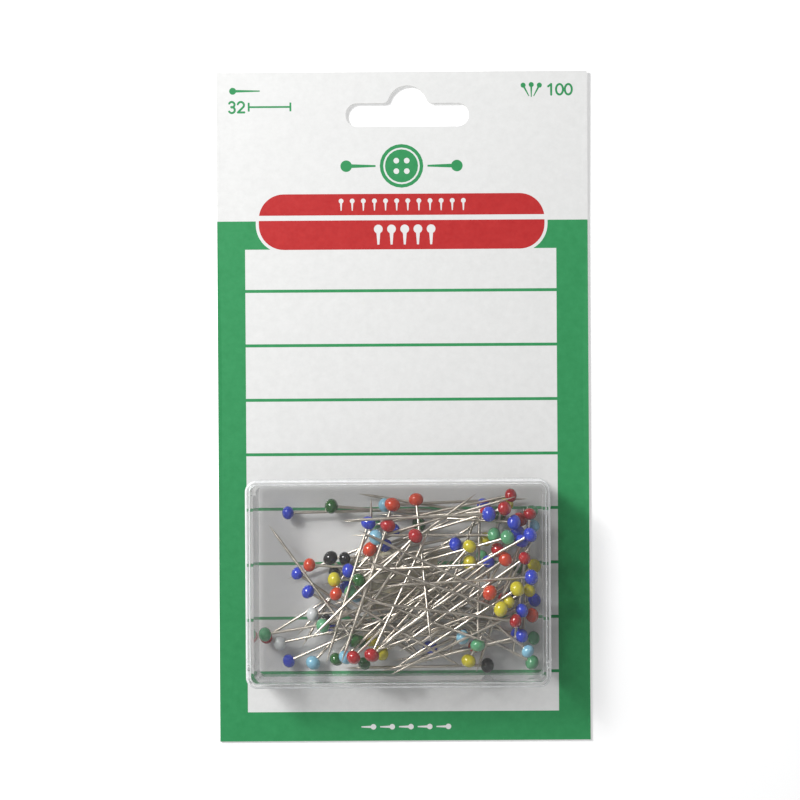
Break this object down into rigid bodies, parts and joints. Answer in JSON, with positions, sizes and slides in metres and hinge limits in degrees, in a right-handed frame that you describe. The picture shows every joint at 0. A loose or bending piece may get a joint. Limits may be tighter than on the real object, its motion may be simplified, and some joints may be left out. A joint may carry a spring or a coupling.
{
  "type": "carded box of glass-headed pins",
  "caption": "Printed hanging card with a clear hinged plastic case taped to it, full of loose glass-headed dressmaking pins.",
  "frame": {"origin": "centre of the backing card's back face", "axes": "+Z out of the card's printed face, +Y up the card towards the hang slot, +X to the right of someone facing the print"},
  "size_m": [0.08, 0.1444, 0.0158],
  "materials": {
    "card_board": "coated white board, offset printed",
    "tape": "cream foam tape",
    "clear_plastic": "clear moulded polystyrene, polished",
    "pin_steel": "nickel plated, bright",
    "glass_blue": "opaque coloured glass, glossy",
    "glass_light_blue": "opaque coloured glass, glossy",
    "glass_dark_green": "opaque coloured glass, glossy",
    "glass_light_green": "opaque coloured glass, glossy",
    "glass_yellow": "opaque coloured glass, glossy",
    "glass_orange": "opaque coloured glass, glossy",
    "glass_red": "opaque coloured glass, glossy",
    "glass_black": "opaque coloured glass, glossy",
    "glass_white": "opaque coloured glass, glossy"
  },
  "bodies": {
    "pack": {"backing_card": "card_board", "tape_pad": "tape", "case_base": "clear_plastic"},
    "lid": {"case_lid": "clear_plastic"},
    "pins": {"blue_heads": "glass_blue", "blue_shafts": "pin_steel", "light_blue_heads": "glass_light_blue", "light_blue_shafts": "pin_steel", "dark_green_heads": "glass_dark_green", "dark_green_shafts": "pin_steel", "light_green_heads": "glass_light_green", "light_green_shafts": "pin_steel", "yellow_heads": "glass_yellow", "yellow_shafts": "pin_steel", "orange_heads": "glass_orange", "orange_shafts": "pin_steel", "red_heads": "glass_red", "red_shafts": "pin_steel", "black_heads": "glass_black", "black_shafts": "pin_steel", "white_heads": "glass_white", "white_shafts": "pin_steel"}
  },
  "joints": [
    {"name": "lid_hinge", "type": "hinge", "parent": "pack", "child": "lid", "pos_m": [-0.00085, -0.05495, 0.0063], "axis": [1, 0, 0], "range_deg": [0, 95]},
    {"name": "pins_rattle", "type": "slide", "parent": "pack", "child": "pins", "axis": [0, 0, 1], "range_m": [0, 0.0006]}
  ]
}
